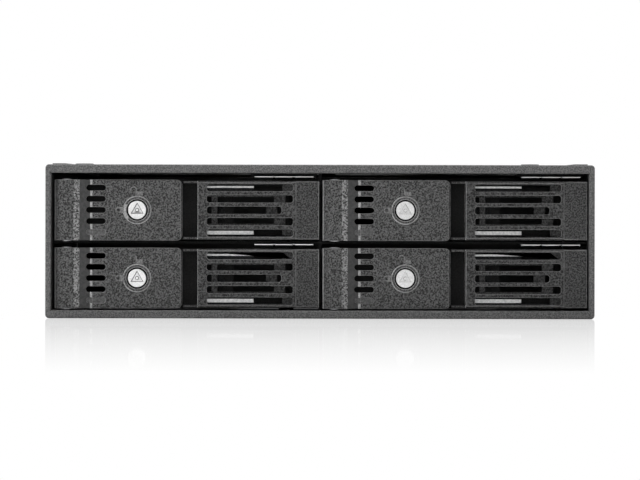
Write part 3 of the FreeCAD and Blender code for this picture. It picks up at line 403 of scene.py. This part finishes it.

# %% [markdown]
# ## Where the tones change on a tray
# One casting isn't one tone. From left to right a lever has a hinge block whose crest is painted paler as
# highlight, a slope that is wiped thin, a crease painted pale as highlight, and then its flat plate. Right of it
# comes the finger recess, painted darker as shade, and then the vented panel. The borders lie at the same places
# on all four trays, so they are written once, in millimetres from the left edge of a tray, or behind the foremost
# line of a lever or a front.

# %% Places on a tray, in mm
LEVER_INSET = 0.3            # from the tray's left edge to the lever's
OUTER_EDGE = 0.75
CREST = (5.5, 7.25)
SLOPE = (7.25, 9.95)
CREASE = (9.95, 10.65)
PLATE_START = 7.0            # right of this a lever is hollow behind
PANEL_START = 39.0
PANEL_EDGE = 0.3             # width of the rubbed edge at each side of the panel
LOCK_RING_EDGES = ((2.75, 3.1), (3.5, 3.95))   # inner and outer edge of the ring, from the lock's axis
LOCK_FACE = 2.0              # the key hole lies within this distance of the lock's axis
RING_DEPTH = 1.3             # the ring's edges end here, behind the lever's foremost line
LEVER_HOLLOW = 1.7           # and the lever's hollow begins here
RIBS_BEHIND = 0.5            # what lies this far behind the foremost line of a tray front is in shade, painted darker, and what lies this far behind it is painted near black as shade
GRILLE_BEHIND = 3.4          # and the powder hardly reaches what lies this far behind it
FLANGE_EDGE = 0.05           # only the front edges of a bracket's flanges keep bright zinc; the rest is darker as painted shade
print("a lever's slope is", round(SLOPE[1] - SLOPE[0], 2), "mm wide")

# %% [markdown]
# ## Other finishes on the same mesh
# These borders could be painted on an image, which needs the piece unwrapped and blurs at every line. They are
# edges of the part, so the faces between them get another material on the same mesh: the borders are sharp and
# the piece stays whole. A face is chosen by where its centre is and which way it looks, and one that passes two
# tests takes the finish of the later one.

# %% Second finishes
def lock_axis(tray):
    """Where the lock's axis meets the front: its X and Z."""
    low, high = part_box(f"{tray}_lock")
    return (low.x + high.x) / 2, (low.z + high.z) / 2


def paint_faces(piece, material, test):
    """Give another material to the faces whose centre and normal pass the test."""
    piece.data.materials.append(material)
    index = len(piece.data.materials) - 1
    count = 0
    for face in piece.data.polygons:
        if test(face.center, face.normal):
            face.material_index = index
            count += 1
    return count


def between(value, span):
    """Whether a value lies inside a span."""
    return span[0] < value < span[1]


def paint_tray(tray):
    """Give one tray its second finishes, mostly painted highlight and painted shade, and count the faces that got
    one.
    """
    lever, front = levers[tray], fronts[tray]
    lever_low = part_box(f"{tray}_lever")[0]
    front_low, front_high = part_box(f"{tray}_front")
    bracket_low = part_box(f"{tray}_bracket")[0]
    lock_x, lock_z = lock_axis(tray)
    left = lever_low.x - LEVER_INSET * MM

    def across(c):
        return (c.x - left) / MM

    def behind(c, foremost):
        return (c.y - foremost.y) / MM

    def from_lock(c):
        return math.hypot(c.x - lock_x, c.z - lock_z) / MM

    def on_ring_edge(c):
        return any(between(from_lock(c), edge) for edge in LOCK_RING_EDGES) and behind(c, lever_low) < RING_DEPTH

    def beside_panel_edge(c):
        return abs(across(c) - PANEL_START) < PANEL_EDGE or c.x > front_high.x - PANEL_EDGE * MM

    def looks_out(n):
        return n.y < -0.35

    def looks_out_and_aside(n):
        return n.y < -0.2 and abs(n.x) > 0.2

    def looks_aside(n):
        return abs(n.y) < 0.8

    return sum((
        # The lever's crest: a paler coat as painted highlight.
        paint_faces(lever, CREST_PAINTED_HIGHLIGHT, lambda c, n: between(across(c), CREST) and looks_out(n)),
        paint_faces(lever, WIPED_COAT, lambda c, n: between(across(c), SLOPE) and looks_out(n)),
        # The crease: a pale coat as painted highlight.
        paint_faces(lever, PALE_PAINTED_HIGHLIGHT, lambda c, n: between(across(c), CREASE) and looks_out(n)),
        # The lever's hollow back: near black as painted shade.
        paint_faces(lever, INNER_PAINTED_SHADE,
                    lambda c, n: behind(c, lever_low) > LEVER_HOLLOW and across(c) > PLATE_START),
        # The lever's outer left edge: a pale coat as painted highlight.
        paint_faces(lever, PALE_PAINTED_HIGHLIGHT, lambda c, n: across(c) < OUTER_EDGE and n.x < -0.5),
        # The lock ring's edges: a pale coat as painted highlight.
        paint_faces(lever, PALE_PAINTED_HIGHLIGHT, lambda c, n: on_ring_edge(c)),
        # The finger recess: a darker coat as painted shade.
        paint_faces(front, RECESS_PAINTED_SHADE, lambda c, n: across(c) < PANEL_START - 0.05),
        paint_faces(front, RIB_COAT, lambda c, n: behind(c, front_low) > RIBS_BEHIND),
        # Deep inside the front: near black as painted shade.
        paint_faces(front, INNER_PAINTED_SHADE, lambda c, n: behind(c, front_low) > GRILLE_BEHIND),
        # The panel's side edges: a pale coat as painted highlight.
        paint_faces(front, PALE_PAINTED_HIGHLIGHT, lambda c, n: beside_panel_edge(c) and looks_out_and_aside(n)),
        # The bracket's front edges keep bright zinc; the rest of it is dark as painted shade.
        paint_faces(brackets[tray], ZINC, lambda c, n: behind(c, bracket_low) < FLANGE_EDGE),
        # The walls of the key hole: dark nickel as painted shade.
        paint_faces(locks[tray], KEY_HOLE_PAINTED_SHADE, lambda c, n: looks_aside(n) and from_lock(c) < LOCK_FACE),
    ))


print("faces with a second finish:", [paint_tray(tray) for tray in TRAYS])

# %% [markdown]
# ## Building blocks of the lock marks
# Above each key lock an open padlock is moulded into the lever, and at its left a closed one, lying on its side:
# they tell which way the key turns. They could be drawn in the material, but a moulded mark catches light on its
# own edges. Each is half a ring on two legs, cut from a torus, over a block with rounded corners.

# %% Ring, block and copies
MARK_WELD = 0.001 * MM       # finer than for the CAD pieces, because the wire is thin


def bake(thing):
    """Put an object's place, turn and size into its mesh."""
    only(thing)
    bpy.ops.object.transform_apply(location=True, rotation=True, scale=True)


def round_block(width, height, half_depth, corner, at):
    """A block with rounded corners round the plane Y = 0, its sizes in mm."""
    bpy.ops.mesh.primitive_cube_add(size=1.0, location=(at[0] * MM, 0, at[1] * MM))
    block = bpy.context.active_object
    block.scale = (width * MM, 2 * half_depth * MM, height * MM)
    bake(block)
    soft = block.modifiers.new("corners", "BEVEL")
    soft.width = corner * MM
    soft.segments = 2
    bpy.ops.object.modifier_apply(modifier=soft.name)
    return block


def shackle(radius, wire, centre, leg_lengths):
    """Half a ring with two legs, round the plane Y = 0, its sizes in mm."""
    bpy.ops.mesh.primitive_torus_add(
        major_radius=radius * MM, minor_radius=wire * MM, major_segments=24, minor_segments=8,
        location=(centre[0] * MM, 0, centre[1] * MM), rotation=(math.radians(90), 0, 0))
    ring = bpy.context.active_object
    bake(ring)
    bpy.ops.object.mode_set(mode="EDIT")
    bpy.ops.mesh.select_all(action="SELECT")
    bpy.ops.mesh.bisect(plane_co=(0, 0, centre[1] * MM), plane_no=(0, 0, -1), clear_outer=True, use_fill=True)
    bpy.ops.object.mode_set(mode="OBJECT")
    legs = []
    for side, length in zip((-1, 1), leg_lengths):
        bpy.ops.mesh.primitive_cylinder_add(
            vertices=8, radius=wire * MM, depth=length * MM,
            location=((centre[0] + side * radius) * MM, 0, (centre[1] - length / 2) * MM))
        legs.append(bpy.context.active_object)
        bake(legs[-1])
    return [ring] + legs


def merged(name, pieces, material):
    """Join pieces into one clean mesh with outward faces."""
    bpy.ops.object.select_all(action="DESELECT")
    for piece in pieces:
        piece.select_set(True)
    bpy.context.view_layer.objects.active = pieces[0]
    bpy.ops.object.join()
    whole = bpy.context.active_object
    whole.name = name
    bake(whole)
    bpy.ops.object.mode_set(mode="EDIT")
    bpy.ops.mesh.select_all(action="SELECT")
    bpy.ops.mesh.remove_doubles(threshold=MARK_WELD)
    bpy.ops.mesh.normals_make_consistent(inside=False)
    bpy.ops.object.mode_set(mode="OBJECT")
    whole.data.materials.clear()
    whole.data.materials.append(material)
    return whole


def copied(source, name, offset, turn=0.0):
    """A copy with its own mesh, turned about Y and moved by an offset."""
    only(source)
    bpy.ops.object.duplicate()
    made = bpy.context.active_object
    made.name = name
    made.rotation_euler = (0, turn, 0)
    made.location = offset
    bake(made)
    return made


print("building blocks ready")

# %% [markdown]
# ## The marks on the levers
# Each padlock is made once round the world's origin, with the lock's axis as its zero, and copied to each lever.
# The plane it is drawn on lies 0.1 mm in front of the lever's plate, and the block reaches 0.2 mm to either side
# of that plane, so it stands 0.3 mm proud and is rooted in the plate.

# %% Padlock marks
MARK_PLANE = 0.9             # behind the lever's foremost line
MARK_HALF_DEPTH = 0.2
MARK_CORNER = 0.1
MARK_WIRE = 0.16
CLOSED_MARK_LEFT = 4.4       # from the lock's axis
# The marks' coat is paler than the lever's, as painted highlight.
MARK_PAINTED_HIGHLIGHT = sand_coat("mark_painted_highlight", "#5c5c5c", "#8a8a8a", grain_mm=0.4, rise_mm=0.03)

open_mark = merged(
    "open_padlock",
    shackle(0.75, MARK_WIRE, centre=(-0.95, 5.5), leg_lengths=(0.25, 1.3))
    + [round_block(1.6, 1.15, MARK_HALF_DEPTH, MARK_CORNER, at=(0.75, 4.5))], MARK_PAINTED_HIGHLIGHT)
closed_mark = merged(
    "closed_padlock",
    shackle(0.62, MARK_WIRE, centre=(0.0, 0.7), leg_lengths=(0.5, 0.5))
    + [round_block(1.7, 1.2, MARK_HALF_DEPTH, MARK_CORNER, at=(0.0, -0.3))], MARK_PAINTED_HIGHLIGHT)
for tray in TRAYS:
    lock_x, lock_z = lock_axis(tray)
    plane_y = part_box(f"{tray}_lever")[0].y + MARK_PLANE * MM
    above = copied(open_mark, f"{tray}_open_mark", (lock_x, plane_y, lock_z))
    beside = copied(closed_mark, f"{tray}_closed_mark",
                    (lock_x - CLOSED_MARK_LEFT * MM, plane_y, lock_z), turn=math.radians(-90))
    for mark in (above, beside):
        finish_piece(mark, body_with(f"{tray}_lever"))
for pattern in (open_mark, closed_mark):
    bpy.data.objects.remove(pattern)
print("lock marks:", 2 * len(TRAYS))

# %% [markdown]
# ## Finding the screws and shaping the driver
# A cross-head screw is known by its recess. A dark cross in the material would look right from one side only, so
# the recess is cut. One node holds many screws, so each is found as a loose part of the mesh. The cutter is the
# tip of a screwdriver: two crossed bars, narrower at their lower end.

# %% Loose screws and a cross cutter
TIP_TAPER = 0.55


def loose_boxes(node):
    """The box of each loose part of a CAD node."""
    source = frame["nodes"][node]
    copy = bpy.data.objects.new("loose", source.data.copy())
    bpy.context.scene.collection.objects.link(copy)
    only(copy)
    bpy.ops.object.mode_set(mode="EDIT")
    bpy.ops.mesh.select_all(action="SELECT")
    bpy.ops.mesh.remove_doubles(threshold=WELD)
    bpy.ops.mesh.separate(type="LOOSE")
    bpy.ops.object.mode_set(mode="OBJECT")
    boxes = []
    for part in list(bpy.context.selected_objects):
        corners = [Vector(v.co) for v in part.data.vertices]
        boxes.append((Vector([min(c[i] for c in corners) for i in range(3)]),
                      Vector([max(c[i] for c in corners) for i in range(3)])))
        bpy.data.objects.remove(part)
    return boxes


def cross_cutter(width, arm, depth):
    """Two crossed bars round the origin that taper towards -Z, their sizes in mm."""
    bars = []
    for size in ((width, arm), (arm, width)):
        bpy.ops.mesh.primitive_cube_add(size=1.0, location=(0, 0, 0))
        bar = bpy.context.active_object
        bar.scale = (size[0] * MM, size[1] * MM, 2 * depth * MM)
        bake(bar)
        bpy.ops.object.mode_set(mode="EDIT")
        bpy.ops.mesh.select_all(action="DESELECT")
        bpy.ops.object.mode_set(mode="OBJECT")
        for face in bar.data.polygons:
            face.select = face.normal.z < -0.9
        bpy.ops.object.mode_set(mode="EDIT")
        bpy.ops.mesh.select_mode(type="FACE")
        bpy.ops.transform.resize(value=(TIP_TAPER, TIP_TAPER, 1.0))
        bpy.ops.object.mode_set(mode="OBJECT")
        bars.append(bar)
    return bars


print("case screws found:", len(loose_boxes("case_screws")))

# %% [markdown]
# ## Cutting the recesses
# The screws of the fans and of the rear panel lie along Y, with their heads at the back. The cutter is turned to
# point into that end and taken away with an exact boolean, which leaves clean walls even where two bars cross.
# The short screws of the cover and the frame stand upright, so the same cut only nicks their rims: a cross in
# their tops would need the cutter turned once more.

# %% Cross recesses
def crossed(node, material, width, arm, depth):
    """A screw node with rounded edges, and a cross cut along Y into the outer end of each screw."""
    piece = rounded(node, 0.12, material, segments=1)
    for low, high in loose_boxes(node):
        middle = (low + high) / 2
        at_back = high.y > 0
        for bar in cross_cutter(width, arm, depth):
            bar.rotation_euler = (math.radians(-90 if at_back else 90), 0, 0)
            bar.location = (middle.x, high.y if at_back else low.y, middle.z)
            bake(bar)
            only(piece)
            cut = piece.modifiers.new("recess", "BOOLEAN")
            cut.operation = "DIFFERENCE"
            cut.solver = "EXACT"
            cut.object = bar
            bpy.ops.object.modifier_apply(modifier=cut.name)
            bpy.data.objects.remove(bar)
    return piece


case_heads = crossed("case_screws", BLACK_OXIDE, width=0.7, arm=2.6, depth=0.35)
fan_heads = crossed("fan_screws", SCREW_STEEL, width=0.8, arm=3.2, depth=1.0)
print("faces with recesses:", len(case_heads.data.polygons), len(fan_heads.data.polygons))

# %% [markdown]
# ## Finishes for the pieces that keep their CAD shape
# Sockets, boards, pins and hidden sheet are right as they are. They could each be given a material by name, but
# the CAD record already sorts them into material slots, so one table from slot to finish covers them all.

# %% Materials on the CAD nodes
FINISH = {
    "sand_black": LEVER_COAT, "smooth_black": FINE_COAT, "zinc_steel": ZINC, "spring_steel": SPRING,
    "chrome": NICKEL, "screw_steel": SCREW_STEEL, "screw_black": BLACK_OXIDE, "board": SOLDER_MASK,
    "black_plastic": BLACK_NYLON, "white_plastic": WHITE_NYLON, "fan_plastic": FAN_NYLON,
    "clear_plastic": ACRYLIC, "lens_plastic": SMOKED_LENS, "brass": BRASS,
}
for node, thing in frame["nodes"].items():
    thing.data.materials.clear()
    thing.data.materials.append(FINISH[SLOTS[node]])
print(len(frame["nodes"]), "nodes have a finish")

# %% [markdown]
# ## The table
# The cage stands on a white, slightly glossy table. To the camera the table is plain white with a faint mirror
# image of the front, which fades towards the viewer. A real glossy floor would need far more light to look white,
# and that light would bleach the cage, so the camera sees a white that gives no light of its own to the object,
# and only the object sees a plain white surface below it.

# %% Table
TABLE_SIZE = 6.0
MIRROR_SHARE = 0.35
MIRROR_REACH = 0.49
MIRROR_UNDER = 0.004         # the mirror begins this far behind the foremost line of the cage


def table_material():
    """White to the eye, with a mirror image that fades towards the viewer."""
    material, tree, shader, place = new_material("white_table")
    tree.nodes.remove(shader)
    path = add(tree, "ShaderNodeLightPath")
    split = add(tree, "ShaderNodeSeparateXYZ", {"Vector": place})
    fade = add(tree, "ShaderNodeMapRange", {
        "Value": split.outputs["Y"], "From Min": cad_low.y, "From Max": cad_low.y - MIRROR_REACH,
        "To Min": MIRROR_SHARE, "To Max": 0.0})
    ahead = add(tree, "ShaderNodeMath",
                {0: split.outputs["Y"], 1: cad_low.y + MIRROR_UNDER}, operation="LESS_THAN")
    share = add(tree, "ShaderNodeMath", {0: fade.outputs[0], 1: ahead.outputs[0]}, operation="MULTIPLY")
    white = add(tree, "ShaderNodeBsdfDiffuse", {"Color": paint("#f2f2f2")})
    lit = add(tree, "ShaderNodeEmission", {"Color": (1, 1, 1, 1), "Strength": 1.0})
    mirror = add(tree, "ShaderNodeBsdfGlossy", {"Color": (1, 1, 1, 1), "Roughness": 0.03})
    seen = add(tree, "ShaderNodeMixShader", {0: share.outputs[0], 1: lit.outputs[0], 2: mirror.outputs[0]})
    surface = add(tree, "ShaderNodeMixShader", {
        0: path.outputs["Is Camera Ray"], 1: white.outputs[0], 2: seen.outputs[0]})
    output = next(n for n in tree.nodes if n.type == "OUTPUT_MATERIAL")
    tree.links.new(surface.outputs[0], output.inputs["Surface"])
    return material


bpy.ops.mesh.primitive_plane_add(size=TABLE_SIZE, location=(0, 0, 0))
table = bpy.context.active_object
table.name = "table"
table.data.materials.append(table_material())
print("table:", TABLE_SIZE, "m wide")

# %% [markdown]
# ## The room
# Behind the cage is a white wall. The camera sees white, and so does bare metal that reflects the wall, because
# plated parts look dead without something bright to mirror. Metal that faces the viewer sees a dimmer room, and
# the light on the cage from all round is weaker still, so that gaps and slots stay dark.

# %% Room
ROOM_LIGHT = 0.12
ROOM_SEEN_IN_METAL = 0.75
WALL_FROM = -0.3             # directions with a greater Y than this meet the wall

world = bpy.data.worlds.new("studio")
bpy.context.scene.world = world
world.use_nodes = True
room = world.node_tree
room.nodes.clear()
path = add(room, "ShaderNodeLightPath")
heading = add(room, "ShaderNodeTexCoord")
split = add(room, "ShaderNodeSeparateXYZ", {"Vector": heading.outputs["Generated"]})
wall = add(room, "ShaderNodeMath", {0: split.outputs["Y"], 1: WALL_FROM}, operation="GREATER_THAN")
mirrored = add(room, "ShaderNodeMath",
               {0: path.outputs["Is Glossy Ray"], 1: wall.outputs[0]}, operation="MULTIPLY")
white = add(room, "ShaderNodeMath",
            {0: path.outputs["Is Camera Ray"], 1: mirrored.outputs[0]}, operation="MAXIMUM")
level = add(room, "ShaderNodeMapRange", {
    "Value": path.outputs["Is Glossy Ray"], "To Min": ROOM_LIGHT, "To Max": ROOM_SEEN_IN_METAL})
dim = add(room, "ShaderNodeBackground", {"Color": (1, 1, 1, 1), "Strength": level.outputs[0]})
bright = add(room, "ShaderNodeBackground", {"Color": (1, 1, 1, 1), "Strength": 1.0})
pick = add(room, "ShaderNodeMixShader", {0: white.outputs[0], 1: dim.outputs[0], 2: bright.outputs[0]})
add(room, "ShaderNodeOutputWorld", {"Surface": pick.outputs[0]})
print("room ready")

# %% [markdown]
# ## Light
# Five soft lamps, as in a product studio. The key stands high at the left of the viewer and brightens the left
# edges. A weak one straight ahead and a weaker fill at the right keep the front readable. A narrow strip just
# over the front grazes it, which picks out the grain of the coat and the crests. The strongest hangs far above
# the cover and gives the top edge of the frame its pale line. Hard small lamps would show the grain more, but
# they burn white spots into the plated parts. Places and sizes are in metres, power in watts.

# %% Lamps
AIM_HEIGHT = 0.02


def lamp(name, place, size, watts, width=None):
    """A soft lamp aimed at the middle of the cage's front: a square, or a strip with a width of its own."""
    data = bpy.data.lights.new(name, "AREA")
    data.size = width or size
    if width:
        data.shape = "RECTANGLE"
        data.size_y = size
    data.energy = watts
    made = bpy.data.objects.new(name, data)
    bpy.context.scene.collection.objects.link(made)
    aim = Vector((0, cad_low.y, AIM_HEIGHT)) - Vector(place)
    made.matrix_world = Matrix.Translation(place) @ aim.to_track_quat("-Z", "Y").to_matrix().to_4x4()
    made.visible_camera = False
    return made


lamp("key", (-0.85, -0.75, 0.65), 0.5, 2.9)
lamp("front", (-0.25, -1.3, 0.12), 0.5, 0.9)
lamp("strip", (-0.08, -0.20, 0.16), 0.03, 0.12, width=0.30)
lamp("fill", (0.8, -0.9, 0.35), 0.8, 0.4)
lamp("top", (-0.15, 0.1, 0.9), 0.7, 10)

# %% [markdown]
# ## Camera
# A product studio sets its camera far back with a long lens, level with the middle of the front, so that nothing
# leans and the sides of the cage don't show. A short lens close by would bend the frame. The lens is worked out
# from the width that should fill the picture. A hair of lift and roll stands for a tripod that is never quite
# level.

# %% Camera
CAMERA_BACK = 1.2
PICTURE_WIDTH = 172.34 * MM
LIFT = 0.46 * MM
ROLL = math.radians(-0.12)
SENSOR_WIDTH = 36.0          # the one length that Blender takes in millimetres

camera_data = bpy.data.cameras.new("front_camera")
camera_data.sensor_width = SENSOR_WIDTH
camera_data.lens = SENSOR_WIDTH * CAMERA_BACK / PICTURE_WIDTH
camera_data.clip_start = 0.05
camera = bpy.data.objects.new("front_camera", camera_data)
bpy.context.scene.collection.objects.link(camera)
bezel_low, bezel_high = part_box("front_bezel")
camera.location = (0, bezel_low.y - CAMERA_BACK, (bezel_low.z + bezel_high.z) / 2 + LIFT)
camera.rotation_euler = (math.radians(90), ROLL, 0)
bpy.context.scene.camera = camera
bpy.context.scene.view_settings.view_transform = "Standard"
print("lens", round(camera_data.lens, 1), "mm")
